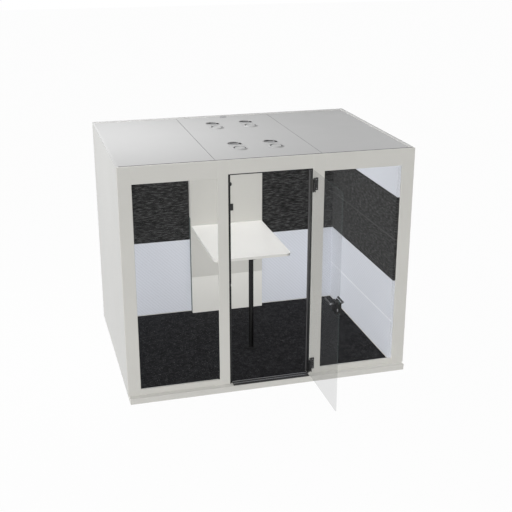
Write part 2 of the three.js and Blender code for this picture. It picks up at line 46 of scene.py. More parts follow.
# Shapes
WELD = 0.00002
FLAT_ANGLE = math.radians(1)
SHARP_ANGLE = math.radians(30)
FACET_ANGLE = math.radians(14)
ROUND_ANGLE = math.radians(40)
X_AXIS = Vector((1, 0, 0))
Y_AXIS = Vector((0, 1, 0))
Z_AXIS = Vector((0, 0, 1))
NO_TURN = (0, 0, 0)
NO_STEP = (0, 0, 0)
FIT_GAP = 0.0003
SIDES = ("left", "right")

# Least part of a face's normal along a direction, to face that way or to lie square on to it
FACING = 0.9
SQUARE_ON = 0.99

# Edges of the sheet, board and bar stock
LACQUER_EDGE = 0.002
ROOF_EDGE = 0.0015
BOARD_EDGE = 0.0015
TABLE_EDGE = 0.004
GLASS_EDGE = 0.0008
METAL_EDGE = 0.001

# Padded lining
PANEL_ROUND = 0.011
PANEL_ROUND_STEPS = 4
CROWN = 0.003
CROWN_MARGIN = 0.11
CROWN_SOFTEN = 0.05
CROWN_STEPS = 3
CARPET_EDGE = 0.0015

# Stage
CAMERA_PLACE = (-2.31307, -8.87359, 4.34703)
CAMERA_TILT = math.radians(69.942)
CAMERA_TURN = math.radians(-15.345)
CAMERA_LENS = 65.39
CAMERA_SENSOR = 36
FLOOR_HALF = 40
FLOOR_DROP = 0.0005
FLOOR_SHOWS_WHITE = 0.965
FLOOR_MATT = (0.6, 0.6, 0.6, 1)
WHITE = (1, 1, 1, 1)
WORLD_LIGHT = 0.18
SUN_SPREAD = math.radians(20)

# Name, direction to the lamp and strength
SUNS = (
    ("front_fill", (-0.72, -0.68, 0.14), 2.9),
    ("rear_fill", (0.62, 0.72, 0.22), 1.5),
    ("top_fill", (-0.05, -0.1, 1), 0.78),
)

# Name, place, aim, size and watts
OUTER_BOXES = (
    ("roof_box", (-1.5, 0.35, 4.6), (-1.5, 0.35, 0), (1.0, 1.6), 76),
    ("wall_box", (-3.2, 0, 2.28), (-1.4, 0, 1.9), (2.0, 0.3), 7.4),
)
UNDER_TABLE_BOX = ("under_table_box", (0, 0.2, 0.7), (0, 0.8, 0.78), (0.7, 0.2), 0.9)
CABIN_BOX_SIZE = (2.0, 0.6)
CABIN_BOX_WATTS = 1.55
CABIN_BOX_FORWARD = 0.4
CABIN_BOX_DROP = 0.02


def shade(red, green, blue):
    """Linear colour, with full cover, of the eight-bit colour that a screen shows."""
    parts = [part / 255 for part in (red, green, blue)]
    linear = [part / 12.92 if part <= 0.04045 else ((part + 0.055) / 1.055) ** 2.4 for part in parts]
    return (*linear, 1.0)


def tinted(colour, share):
    """The same hue, lighter or darker by a share."""
    return (*[min(1.0, part * share) for part in colour[:3]], 1.0)


class Finish:
    """A material in the making: its nodes, its shader and the place of each point on the pod."""

    def __init__(self, name, rough, metal=0.0, shine=0.5):
        self.material = bpy.data.materials.new(name)
        self.material.use_nodes = True
        self.nodes = self.material.node_tree.nodes
        self.links = self.material.node_tree.links
        self.surface = self.nodes["Principled BSDF"]
        self.surface.inputs["Roughness"].default_value = rough
        self.surface.inputs["Metallic"].default_value = metal
        self.surface.inputs["Specular IOR Level"].default_value = shine
        self.place = self.nodes.new("ShaderNodeTexCoord").outputs["Object"]

    def stretched(self, scale, turn=NO_TURN):
        """The place on the pod, scaled along each axis and turned."""
        mapping = self.nodes.new("ShaderNodeMapping")
        mapping.inputs["Scale"].default_value = scale
        mapping.inputs["Rotation"].default_value = turn
        self.links.new(self.place, mapping.inputs["Vector"])
        return mapping.outputs["Vector"]

    def noise(self, place, scale, detail=2.0):
        cloud = self.nodes.new("ShaderNodeTexNoise")
        cloud.inputs["Scale"].default_value = scale
        cloud.inputs["Detail"].default_value = detail
        self.links.new(place, cloud.inputs["Vector"])
        return cloud.outputs["Fac"]

    def cells(self, place, scale):
        """Small cells, each of one random brightness."""
        grains = self.nodes.new("ShaderNodeTexVoronoi")
        grains.inputs["Scale"].default_value = scale
        self.links.new(place, grains.inputs["Vector"])
        return grains.outputs["Color"]

    def bands(self, place, scale, direction, wobble):
        stripe = self.nodes.new("ShaderNodeTexWave")
        stripe.bands_direction = direction
        stripe.inputs["Scale"].default_value = scale
        stripe.inputs["Distortion"].default_value = wobble
        self.links.new(place, stripe.inputs["Vector"])
        return stripe.outputs["Fac"]

    def mixed(self, first, second, share):
        """Two patterns laid over each other by a plain share."""
        blend = self.nodes.new("ShaderNodeMix")
        blend.data_type = "RGBA"
        blend.inputs["Factor"].default_value = share
        self.links.new(first, blend.inputs["A"])
        self.links.new(second, blend.inputs["B"])
        return blend.outputs["Result"]

    def shades(self, amount, *stops):
        """Colours along an amount, from (position, colour) stops."""
        ramp = self.nodes.new("ShaderNodeValToRGB")
        marks = ramp.color_ramp.elements
        while len(marks) < len(stops):
            marks.new(0.5)
        for mark, (position, colour) in zip(marks, stops):
            mark.position = position
            mark.color = colour
        self.links.new(amount, ramp.inputs["Fac"])
        return ramp.outputs["Color"]

    def coloured(self, source):
        self.links.new(source, self.surface.inputs["Base Color"])

    def roughened(self, amount, low, high):
        """Roughness that follows a pattern between two values."""
        source = self.shades(amount, (0.3, (low, low, low, 1)), (0.7, (high, high, high, 1)))
        self.links.new(source, self.surface.inputs["Roughness"])

    def bumped(self, height, depth):
        bump = self.nodes.new("ShaderNodeBump")
        bump.inputs["Distance"].default_value = depth
        bump.inputs["Strength"].default_value = 1.0
        self.links.new(height, bump.inputs["Height"])
        self.links.new(bump.outputs["Normal"], self.surface.inputs["Normal"])


def lacquer(name, colour, rough):
    """Sprayed lacquer: faint clouds of shade and a fine orange peel."""
    paint = Finish(name, rough)
    clouds = paint.noise(paint.place, 2.2, 5.0)
    peel = paint.noise(paint.place, 420, 1.0)
    paint.coloured(paint.shades(clouds, (0.25, tinted(colour, 0.975)), (0.75, tinted(colour, 1.02))))
    paint.roughened(clouds, rough - 0.05, rough + 0.06)
    paint.bumped(peel, 0.00012)
    return paint.material


def coated_sheet(name, colour):
    """Powder-coated sheet with a thin settled dust."""
    sheet = Finish(name, 0.5, shine=0.3)
    dust = sheet.noise(sheet.place, 1.3, 7.0)
    speckle = sheet.noise(sheet.place, 260, 2.0)
    pattern = sheet.mixed(dust, speckle, 0.3)
    sheet.coloured(sheet.shades(pattern, (0.25, tinted(colour, 0.96)), (0.75, tinted(colour, 1.03))))
    sheet.roughened(dust, 0.44, 0.6)
    sheet.bumped(speckle, 0.0001)
    return sheet.material


def slub_cloth(name, dark, middle, light):
    """Coarse cloth whose thick and thin weft threads run level."""
    cloth = Finish(name, 0.95, shine=0.12)
    slubs = cloth.noise(cloth.stretched((17, 17, 80)), 1.0, 3.0)
    threads = cloth.noise(cloth.stretched((90, 90, 480)), 1.0, 2.0)
    pattern = cloth.mixed(slubs, threads, 0.35)
    cloth.coloured(cloth.shades(pattern, (0.36, dark), (0.5, middle), (0.64, light)))
    cloth.bumped(threads, 0.0008)
    cloth.surface.inputs["Sheen Weight"].default_value = 0.1
    cloth.surface.inputs["Sheen Roughness"].default_value = 0.5
    return cloth.material


def twill_cloth(name, colour):
    """Pale cloth with a fine slanted twill."""
    cloth = Finish(name, 0.92, shine=0.15)
    twill = cloth.bands(cloth.place, 16, "DIAGONAL", 1.5)
    fuzz = cloth.noise(cloth.place, 230, 3.0)
    pattern = cloth.mixed(twill, fuzz, 0.5)
    stops = ((0.2, tinted(colour, 0.945)), (0.5, colour), (0.8, tinted(colour, 1.045)))
    cloth.coloured(cloth.shades(pattern, *stops))
    cloth.bumped(pattern, 0.0003)
    cloth.surface.inputs["Sheen Weight"].default_value = 0.1
    cloth.surface.inputs["Sheen Roughness"].default_value = 0.5
    return cloth.material


def pile_carpet(name, dark, middle, fleck):
    """Short loop pile in two near-black yarns with a few pale flecks."""
    pile = Finish(name, 1.0, shine=0.05)
    loops = pile.cells(pile.place, 150)
    drift = pile.noise(pile.place, 24, 4.0)
    pattern = pile.mixed(loops, drift, 0.5)
    pile.coloured(pile.shades(pattern, (0.3, dark), (0.55, middle), (0.78, fleck)))
    pile.bumped(loops, 0.002)
    return pile.material


def laminate(name, colour, rough):
    """Pressed laminate: fine mottle and a satin face."""
    board = Finish(name, rough)
    mottle = board.noise(board.place, 55, 6.0)
    clouds = board.noise(board.place, 1.8, 3.0)
    pattern = board.mixed(clouds, mottle, 0.5)
    board.coloured(board.shades(pattern, (0.3, tinted(colour, 0.98)), (0.7, tinted(colour, 1.015))))
    board.roughened(mottle, rough - 0.05, rough + 0.06)
    board.bumped(board.noise(board.place, 900, 1.0), 0.00006)
    return board.material


def felt(name, colour):
    """Needled felt with loose fibres."""
    mat = Finish(name, 1.0, shine=0.1)
    fibres = mat.noise(mat.place, 340, 5.0)
    mat.coloured(mat.shades(fibres, (0.3, tinted(colour, 0.9)), (0.7, tinted(colour, 1.04))))
    mat.bumped(fibres, 0.0008)
    return mat.material


def dark_metal(name, colour, rough, grain):
    """Black anodised or coated metal with a drawn grain."""
    metal = Finish(name, rough, metal=0.35, shine=0.4)
    lines = metal.noise(metal.stretched(grain), 1.0, 3.0)
    metal.coloured(metal.shades(lines, (0.3, tinted(colour, 0.8)), (0.7, tinted(colour, 1.35))))
    metal.roughened(lines, rough - 0.06, rough + 0.08)
    metal.bumped(lines, 0.00008)
    return metal.material


def bright_metal(name, colour, rough):
    """Brushed bright metal."""
    metal = Finish(name, rough, metal=1.0)
    lines = metal.noise(metal.stretched((900, 60, 900)), 1.0, 2.0)
    metal.coloured(metal.shades(lines, (0.3, tinted(colour, 0.85)), (0.7, tinted(colour, 1.08))))
    metal.roughened(lines, rough - 0.08, rough + 0.08)
    return metal.material


def moulded(name, colour, rough):
    """Moulded plastic with a spark-eroded texture."""
    plastic = Finish(name, rough)
    grain = plastic.noise(plastic.place, 800, 2.0)
    clouds = plastic.noise(plastic.place, 30, 3.0)
    plastic.coloured(plastic.shades(clouds, (0.3, tinted(colour, 0.93)), (0.7, tinted(colour, 1.06))))
    plastic.roughened(grain, rough - 0.06, rough + 0.08)
    plastic.bumped(grain, 0.0001)
    return plastic.material


def pane(name, colour, cover):
    """Flat glass: mostly clear, with faint wipe marks in its gloss."""
    glass = Finish(name, 0.04, shine=0.0)
    wipes = glass.noise(glass.stretched((3, 3, 9)), 1.0, 4.0)
    glass.surface.inputs["Base Color"].default_value = colour
    glass.surface.inputs["Alpha"].default_value = cover
    glass.roughened(wipes, 0.02, 0.09)
    return glass.material


def glow(name, colour, strength):
    """Opal diffuser with a faint prism pattern, lit from behind."""
    opal = Finish(name, 0.6)
    prisms = opal.cells(opal.place, 120)
    opal.coloured(opal.shades(prisms, (0.1, tinted(colour, 0.94)), (0.9, colour)))
    opal.surface.inputs["Emission Color"].default_value = colour
    opal.surface.inputs["Emission Strength"].default_value = strength
    opal.bumped(prisms, 0.0004)
    return opal.material


FRONT_LACQUER = lacquer("front_lacquer", shade(195, 194, 189), 0.5)
# The walls take a darker copy of the front lacquer: painted shade that offsets the stronger light falling
# on the side walls.
WALL_LACQUER_PAINTED_SHADE = lacquer("wall_lacquer", shade(187, 187, 185), 0.5)
# Painted shade: a darker grey for the top faces of the walls, so that the lamp over the roof does not
# light them to white.
WALL_TOP_PAINTED_SHADE = coated_sheet("wall_top_painted_shade", shade(166, 166, 166))
ROOF_SHEET = coated_sheet("roof_sheet", shade(161, 161, 161))
DARK_FABRIC = slub_cloth("dark_fabric", shade(19, 19, 19), shade(42, 42, 42), shade(76, 76, 76))
LIGHT_FABRIC = twill_cloth("light_fabric", shade(203, 206, 213))
# A darker copy of the pale cloth for the front end faces of the side panels: painted shade, as those
# faces catch more light than the sides.
PALE_END_PAINTED_SHADE = twill_cloth("light_fabric_end_painted_shade", shade(188, 191, 198))
CARPET = pile_carpet("carpet", shade(18, 18, 20), shade(32, 32, 34), shade(64, 64, 66))
# The two media covers differ a little in tone. Beyond that, the upper cover is painted darker as painted
# shade against the cabin lamp above it, and the lower cover is painted lighter as painted light filling
# the shade under the table.
UPPER_MEDIA_BOARD_PAINTED_SHADE = laminate("upper_media_board_painted_shade", shade(186, 185, 180), 0.5)
LOWER_MEDIA_BOARD_PAINTED_LIGHT = laminate("lower_media_board_painted_light", shade(212, 211, 206), 0.5)
TABLE_BOARD = laminate("table_board", shade(247, 246, 243), 0.42)
# A darker copy of the table board for its side faces: painted shade against the light that falls on the
# front edge.
TABLE_SIDES_PAINTED_SHADE = laminate("table_sides_painted_shade", shade(208, 207, 203), 0.5)
CEILING_FELT = felt("ceiling_felt", shade(222, 222, 219))
BLACK_ALUMINIUM = dark_metal("black_aluminium", shade(27, 27, 28), 0.4, (500, 500, 6))
BLACK_STEEL = dark_metal("black_steel", shade(25, 25, 25), 0.36, (240, 240, 240))
LEG_STEEL = dark_metal("leg_steel", shade(13, 13, 13), 0.3, (240, 240, 240))
BOLT_STEEL = bright_metal("bolt_steel", shade(138, 139, 142), 0.34)
LEVER_STEEL = bright_metal("lever_steel", shade(104, 105, 107), 0.3)
LOCK_TRIM = bright_metal("lock_trim", shade(62, 62, 65), 0.5)
SILL_STRIP = bright_metal("sill_strip", shade(176, 177, 179), 0.34)
BLACK_PLASTIC = moulded("black_plastic", shade(28, 28, 29), 0.5)
VENT_PLASTIC = moulded("vent_plastic", shade(156, 156, 156), 0.6)
INLET_GREY = moulded("inlet_grey", shade(148, 148, 149), 0.55)
# Near-black for the duct walls, filter and gasket. On the valve's slot floor it is painted shade.
DUCT_LINING = moulded("duct_lining", shade(20, 20, 20), 0.8)
SEAL_RUBBER = moulded("seal_rubber", shade(82, 82, 83), 0.7)
FOOT_COVER = felt("foot_cover", shade(27, 27, 28))
FAN_CAP = moulded("fan_cap", shade(112, 112, 113), 0.6)
# The joint between pale rows, lighter than the cloth: partly a painted highlight of the rounded panel
# edges.
PALE_JOINT_AND_HIGHLIGHT = moulded("pale_joint_and_highlight", shade(220, 222, 227), 0.6)
DARK_JOINT = moulded("dark_joint", shade(60, 60, 60), 0.7)
# Painted shadow: a dark teal colour for strips on the sides of the media wall, where the gap beside it
# lies in shade.
MEDIA_SIDE_PAINTED_SHADOW = moulded("media_side_painted_shadow", shade(88, 96, 95), 0.7)
WINDOW_GLASS = pane("window_glass", shade(150, 160, 158), 0.003)
DOOR_GLASS = pane("door_glass", shade(80, 81, 82), 0.12)
GLASS_RIM = pane("glass_rim", shade(120, 138, 134), 0.12)
DIFFUSER = glow("diffuser", shade(246, 244, 238), 0.9)


def put(name, shape, finishes, body, stands_for=(), smooth=FACET_ANGLE):
    """One finished piece on its body, in place of the CAD nodes that it stands for."""
    for face in shape.faces:
        face.smooth = True
    mesh = bpy.data.meshes.new(name)
    shape.to_mesh(mesh)
    shape.free()
    for finish in finishes:
        mesh.materials.append(finish)
    mesh.set_sharp_from_angle(angle=smooth)
    made = bpy.data.objects.new(name, mesh)
    scene.collection.objects.link(made)
    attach(made, body)
    if stands_for:
        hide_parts(*stands_for)
    return made


def round_over(shape, edges, radius, steps=2):
    bmesh.ops.bevel(
        shape,
        geom=edges,
        offset=radius,
        offset_type="OFFSET",
        segments=steps,
        profile=0.5,
        affect="EDGES",
        material=-1,
        clamp_overlap=True,
    )


def sharp_edges(shape):
    return [edge for edge in shape.edges if edge.calc_face_angle(0) > SHARP_ANGLE]


def merged(node):
    """A CAD node's shape as whole faces."""
    shape = bmesh.new()
    shape.from_mesh(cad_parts[node].data)
    bmesh.ops.remove_doubles(shape, verts=shape.verts[:], dist=WELD)
    bmesh.ops.dissolve_limit(shape, angle_limit=FLAT_ANGLE, verts=shape.verts[:], edges=shape.edges[:])
    for face in shape.faces:
        face.material_index = 0
    return shape


def worked(node, radius, steps=2):
    """A CAD node's shape with its sharp edges rounded over."""
    shape = merged(node)
    round_over(shape, sharp_edges(shape), radius, steps)
    return shape


def box_between(shape, low, high):
    """A box between two corners. Returns its corners."""
    size = Vector(high) - Vector(low)
    middle = (Vector(high) + Vector(low)) / 2
    placed = Matrix.Translation(middle) @ Matrix.Diagonal((*size, 1.0))
    return bmesh.ops.create_cube(shape, size=1.0, matrix=placed)["verts"]


def rounded_box(low, high, radius, steps=2):
    shape = bmesh.new()
    box_between(shape, low, high)
    round_over(shape, shape.edges[:], radius, steps)
    return shape


def turned(shape, profile, centre, axis, steps, closed=False, finish=0):
    """A profile of (radius, height) points spun once round an axis through the centre."""
    before = len(shape.faces)
    side = axis.orthogonal().normalized()
    ring = [shape.verts.new(Vector(centre) + side * radius + axis * height) for radius, height in profile]
    pairs = list(zip(ring, ring[1:]))
    if closed:
        pairs.append((ring[-1], ring[0]))
    line = [shape.edges.new(pair) for pair in pairs]
    bmesh.ops.spin(
        shape,
        geom=ring + line,
        cent=centre,
        axis=axis,
        dvec=NO_STEP,
        angle=math.tau,
        steps=steps,
        use_merge=True,
        use_duplicate=False,
    )
    shape.faces.ensure_lookup_table()
    for face in shape.faces[before:]:
        face.material_index = finish


def closed_up(shape):
    """Merges poles and seams and turns all faces outwards."""
    bmesh.ops.remove_doubles(shape, verts=shape.verts[:], dist=WELD)
    bmesh.ops.recalc_face_normals(shape, faces=shape.faces[:])
    return shape


def add_camera():
    lens = bpy.data.cameras.new("photo_camera")
    lens.lens = CAMERA_LENS
    lens.sensor_width = CAMERA_SENSOR
    camera = bpy.data.objects.new("photo_camera", lens)
    camera.location = CAMERA_PLACE
    camera.rotation_euler = (CAMERA_TILT, 0, CAMERA_TURN)
    scene.collection.objects.link(camera)
    scene.camera = camera


def seen_share(nodes, links):
    """1 for rays that show a surface to the camera, straight, mirrored or through glass."""
    path = nodes.new("ShaderNodeLightPath")
    first = nodes.new("ShaderNodeMath")
    first.operation = "MAXIMUM"
    links.new(path.outputs["Is Camera Ray"], first.inputs[0])
    links.new(path.outputs["Is Glossy Ray"], first.inputs[1])
    second = nodes.new("ShaderNodeMath")
    second.operation = "MAXIMUM"
    links.new(first.outputs[0], second.inputs[0])
    links.new(path.outputs["Is Transmission Ray"], second.inputs[1])
    return second.outputs[0]


def add_world():
    world = bpy.data.worlds.new("studio")
    scene.world = world
    world.use_nodes = True
    nodes = world.node_tree.nodes
    links = world.node_tree.links
    light = nodes["Background"]
    light.inputs["Color"].default_value = WHITE
    light.inputs["Strength"].default_value = WORLD_LIGHT
    white = nodes.new("ShaderNodeBackground")
    white.inputs["Color"].default_value = WHITE
    white.inputs["Strength"].default_value = 1.0
    blend = nodes.new("ShaderNodeMixShader")
    links.new(seen_share(nodes, links), blend.inputs[0])
    links.new(light.outputs[0], blend.inputs[1])
    links.new(white.outputs[0], blend.inputs[2])
    links.new(blend.outputs[0], nodes["World Output"].inputs["Surface"])


def add_floor():
    """White floor that takes the shadow and shows as white paper."""
    paper = bpy.data.materials.new("floor_paper")
    paper.use_nodes = True
    nodes = paper.node_tree.nodes
    links = paper.node_tree.links
    nodes.remove(nodes["Principled BSDF"])
    matt = nodes.new("ShaderNodeBsdfDiffuse")
    matt.inputs["Color"].default_value = FLOOR_MATT
    white = nodes.new("ShaderNodeEmission")
    share = nodes.new("ShaderNodeMath")
    share.operation = "MULTIPLY"
    share.inputs[1].default_value = FLOOR_SHOWS_WHITE
    links.new(seen_share(nodes, links), share.inputs[0])
    blend = nodes.new("ShaderNodeMixShader")
    links.new(share.outputs[0], blend.inputs[0])
    links.new(matt.outputs[0], blend.inputs[1])
    links.new(white.outputs[0], blend.inputs[2])
    links.new(blend.outputs[0], nodes["Material Output"].inputs["Surface"])
    shape = bmesh.new()
    lowered = Matrix.Translation((0, 0, -FLOOR_DROP))
    bmesh.ops.create_grid(shape, x_segments=1, y_segments=1, size=FLOOR_HALF, matrix=lowered)
    mesh = bpy.data.meshes.new("floor")
    shape.to_mesh(mesh)
    shape.free()
    mesh.materials.append(paper)
    floor = bpy.data.objects.new("floor", mesh)
    scene.collection.objects.link(floor)


def add_sun(name, towards, strength):
    """A wide, shadowless sun."""
    lamp = bpy.data.lights.new(name, "SUN")
    lamp.energy = strength
    lamp.angle = SUN_SPREAD
    lamp.use_shadow = False
    holder = bpy.data.objects.new(name, lamp)
    holder.rotation_euler = Vector(towards).to_track_quat("Z", "Y").to_euler()
    scene.collection.objects.link(holder)


def add_soft_box(name, place, aim, size, power):
    """An area lamp that lights the pod and is itself not seen."""
    lamp = bpy.data.lights.new(name, "AREA")
    lamp.shape = "RECTANGLE"
    lamp.size = size[0]
    lamp.size_y = size[1]
    lamp.energy = power
    holder = bpy.data.objects.new(name, lamp)
    holder.location = place
    holder.rotation_euler = (Vector(place) - Vector(aim)).to_track_quat("Z", "Y").to_euler()
    holder.visible_camera = False
    holder.visible_glossy = False
    holder.visible_transmission = False
    scene.collection.objects.link(holder)


def add_lights():
    for sun in SUNS:
        add_sun(*sun)
    for box in OUTER_BOXES:
        add_soft_box(*box)
    ceiling_low, ceiling_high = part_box("ceiling_light")
    middle = (ceiling_low + ceiling_high) / 2
    forward_y = middle.y - CABIN_BOX_FORWARD
    place = (middle.x, forward_y, ceiling_low.z - CABIN_BOX_DROP)
    add_soft_box("cabin_box", place, (middle.x, forward_y, 0), CABIN_BOX_SIZE, CABIN_BOX_WATTS)
    add_soft_box(*UNDER_TABLE_BOX)


def add_shell():
    """Lacquered shell, frame, roof sheets and boards, each with its edges broken."""
    front = ["base_platform", "latch_post", "hinge_post", "door_head"]
    for side in SIDES:
        front += [f"corner_post_{side}", f"window_head_{side}"]
    roof = ["roof_panel_left", "roof_panel_centre", "roof_panel_right"]
    groups = (
        (front, "front_lacquer", FRONT_LACQUER, LACQUER_EDGE),
        (roof, "roof_sheet", ROOF_SHEET, ROOF_EDGE),
        # Upper cover in painted shade, lower cover in painted light.
        (["media_cover_upper"], "media_board", UPPER_MEDIA_BOARD_PAINTED_SHADE, BOARD_EDGE),
        (["media_cover_lower"], "media_board", LOWER_MEDIA_BOARD_PAINTED_LIGHT, BOARD_EDGE),
        (["ceiling_panel"], "ceiling_felt", CEILING_FELT, BOARD_EDGE),
        (["table_bracket"], "black_steel", BLACK_STEEL, METAL_EDGE),
    )
    for nodes, slot, finish, edge in groups:
        for node in nodes:
            put(f"{node}_finished", worked(node, edge), [finish], "pod", [node])


SHADED_TOP_RISE = 0.3


def add_walls():
    """Walls in a darker copy of the front lacquer, whose top faces take a darker grey again: both are
    painted shade against the lamps.
    """
    for node in ("side_wall_left", "side_wall_right", "rear_wall"):
        shape = worked(node, LACQUER_EDGE)
        shape.normal_update()
        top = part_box(node)[1].z
        # Upward top faces of the walls take the darker grey: painted shade.
        for face in shape.faces:
            if top - face.calc_center_median().z < LACQUER_EDGE and face.normal.z > SHADED_TOP_RISE:
                face.material_index = 1
        put(f"{node}_finished", shape, [WALL_LACQUER_PAINTED_SHADE, WALL_TOP_PAINTED_SHADE], "pod", [node])


SILL_FALL = 0.021


def add_sills():
    """Window sills whose top falls away behind the glass."""
    for side in SIDES:
        node = f"window_sill_{side}"
        shape = merged(node)
        low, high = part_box(node)
        middle_z = (low.z + high.z) / 2
        rear = [vert for vert in shape.verts if vert.co.z > middle_z and high.y - vert.co.y < WELD]
        bmesh.ops.translate(shape, verts=rear, vec=(0, 0, -SILL_FALL))
        round_over(shape, sharp_edges(shape), LACQUER_EDGE)
        put(f"{node}_finished", shape, [FRONT_LACQUER], "pod", [node])


def lining_panel(node, inward, finish):
    """A foam board wrapped in cloth: rounded and slightly crowned to the room, flat to the wall. The
    front ends of pale side panels take a darker copy of the cloth as painted shade.
    """
    low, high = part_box(node)
    for axis in range(3):
        if inward[axis] > 0:
            high[axis] -= CROWN
        if inward[axis] < 0:
            low[axis] += CROWN
    shape = bmesh.new()
    box_between(shape, low, high)
    shape.normal_update()
    room = next(face for face in shape.faces if face.normal.dot(inward) > FACING)
    level = [edge for edge in room.edges if abs(edge.verts[0].co.z - edge.verts[1].co.z) < WELD]
    round_over(shape, level, PANEL_ROUND, PANEL_ROUND_STEPS)
    shape.normal_update()
    facing = [face for face in shape.faces if face.normal.dot(inward) > SQUARE_ON]
    room = max(facing, key=lambda face: face.calc_area())
    bmesh.ops.inset_region(shape, faces=[room], thickness=PANEL_ROUND / 2, use_even_offset=True)
    bmesh.ops.inset_region(shape, faces=[room], thickness=CROWN_MARGIN, use_even_offset=True)
    bmesh.ops.translate(shape, verts=room.verts[:], vec=inward * CROWN)
    round_over(shape, room.edges[:], CROWN_SOFTEN, CROWN_STEPS)
    shape.normal_update()
    # Front end faces of side panels take the darker copy of their cloth: painted shade.
    for face in shape.faces:
        if face.normal.y < -SQUARE_ON and not inward.y:
            face.material_index = 1
    end_cloth_painted_shade = PALE_END_PAINTED_SHADE if finish is LIGHT_FABRIC else finish
    panel = put(f"{node}_padded", shape, [finish, end_cloth_painted_shade], "pod", [node], ROUND_ANGLE)


def add_lining():
    rows = (
        ("light_fabric", LIGHT_FABRIC),
        ("light_fabric", LIGHT_FABRIC),
        ("dark_fabric", DARK_FABRIC),
        ("dark_fabric", DARK_FABRIC),
        ("light_fabric", LIGHT_FABRIC),
    )
    for side, inward in (("left", X_AXIS), ("right", -X_AXIS)):
        for row, (slot, finish) in enumerate(rows, start=1):
            lining_panel(f"side_lining_{side}_{row}", inward, finish)
    lining_panel("rear_lining_lower", -Y_AXIS, LIGHT_FABRIC)
    lining_panel("rear_lining_middle", -Y_AXIS, DARK_FABRIC)
    lining_panel("rear_lining_top", -Y_AXIS, LIGHT_FABRIC)


JOINT_HALF = 0.0085
JOINT_SUNK = 0.001


def add_row_joints():
    """Joint strips in the grooves between two lining rows of one colour. The strip between the pale rows
    is lighter than the cloth, partly as a painted highlight of the rounded panel edges.
    """
    joints = ((1, PALE_JOINT_AND_HIGHLIGHT, "wall_lacquer"), (3, DARK_JOINT, "black_plastic"))
    for side, inward in (("left", 1), ("right", -1)):
        for row, finish, slot in joints:
            low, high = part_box(f"side_lining_{side}_{row}")
            rim = (high.x if inward > 0 else low.x) - inward * (CROWN + JOINT_SUNK)
            across = sorted((rim, rim - inward * PANEL_ROUND))
            bottom = (across[0], low.y, high.z - JOINT_HALF)
            top = (across[1], high.y, high.z + JOINT_HALF)
            strip = rounded_box(bottom, top, JOINT_SUNK, 2)
            put(f"lining_joint_{side}_{row}", strip, [finish], "pod")


def add_carpet():
    """The carpet, laid flat in its pocket. Its cut area is that of its underside."""
    shape = worked("carpet", CARPET_EDGE)
    cut_area = sum(face.calc_area() for face in shape.faces if face.normal.z < -FACING)
    carpet = put("carpet_laid", shape, [CARPET], "pod", ["carpet"])


def glass_sheet(node, body, finish):
    """A glass sheet whose ground edges are denser than its faces."""
    low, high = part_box(node)
    size = high - low
    through = min(range(3), key=lambda axis: size[axis])
    shape = worked(node, GLASS_EDGE, 1)
    for face in shape.faces:
        face.material_index = 0 if abs(face.normal[through]) > SQUARE_ON else 1
    put(f"{node}_glass", shape, [finish, GLASS_RIM], body, [node])


def add_glass():
    for side in SIDES:
        glass_sheet(f"window_pane_{side}", "pod", WINDOW_GLASS)
    glass_sheet("door_leaf", "door", DOOR_GLASS)


SEAL_WIDTH = 0.022
SEAL_PROUD = 0.0012
# Black strip on the latch post, painted shadow of the gap at the doorway
JAMB_SHADOW_WIDTH = 0.011
JAMB_SHADOW_PROUD = 0.001
SEAL_FRONT = 0.04
SEAL_FOOT = 0.02


def add_door_frame():
    """Black lining of the doorway with its two seals, and a black strip on the latch post that is painted
    shadow of the gap beside the door.
    """
    lining = worked("door_frame", METAL_EDGE)
    put("door_frame_black", lining, [BLACK_ALUMINIUM], "pod", ["door_frame"])
    low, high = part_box("door_frame")
    liner = high.x - abs(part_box("threshold_plate")[1].x)
    band_low = low.y + SEAL_FRONT
    for side, inner in (("left", low.x + liner), ("right", high.x - liner)):
        inward = 1 if side == "left" else -1
        face = inner + inward * SEAL_PROUD
        corners = sorted((inner, face))
        shape = rounded_box(
            (corners[0], band_low, low.z + SEAL_FOOT),
            (corners[1], band_low + SEAL_WIDTH, high.z - liner),
            SEAL_PROUD / 3,
            1,
        )
        put(f"door_seal_{side}", shape, [SEAL_RUBBER], "pod")
    # A black strip on the front of the latch post: painted shadow of the gap beside the door.
    post_low, post_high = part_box("latch_post")
    jamb_shadow_low = (post_high.x - JAMB_SHADOW_WIDTH, post_low.y - JAMB_SHADOW_PROUD, low.z)
    jamb_shadow_high = (post_high.x + JAMB_SHADOW_PROUD, post_low.y + JAMB_SHADOW_PROUD, high.z)
    jamb_shadow = rounded_box(jamb_shadow_low, jamb_shadow_high, JAMB_SHADOW_PROUD / 3, 1)
    put("jamb_painted_shadow", jamb_shadow, [LEG_STEEL], "pod")


THRESHOLD_TOP = 0.0062
THRESHOLD_NOSE = 0.004
RIB_PLACES = (0.034, 0.074)
RIB_WIDTH = 0.006
RIB_INSET = 0.004
RIB_SUNK = 0.001
RIB_EDGE = 0.0007


def add_threshold():
    """Black plate with two raised bright strips along the doorway."""
    low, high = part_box("threshold_plate")
    top = low.z + THRESHOLD_TOP
    plate = rounded_box(low, (high.x, high.y, top), THRESHOLD_NOSE / 2, 3)
    put("threshold_black", plate, [BLACK_ALUMINIUM], "pod", ["threshold_plate"])
    shape = bmesh.new()
    for place in RIB_PLACES:
        strip_low = (low.x + RIB_INSET, low.y + place, top - RIB_SUNK)
        strip_high = (high.x - RIB_INSET, low.y + place + RIB_WIDTH, high.z)
        box_between(shape, strip_low, strip_high)
    round_over(shape, shape.edges[:], RIB_EDGE, 2)
    put("threshold_strips", shape, [SILL_STRIP], "pod")


SCREW_RADIUS = 0.0045
SCREW_HEIGHT = 0.0012
SCREW_SOCKET = 0.0022
SCREW_STEPS = 12


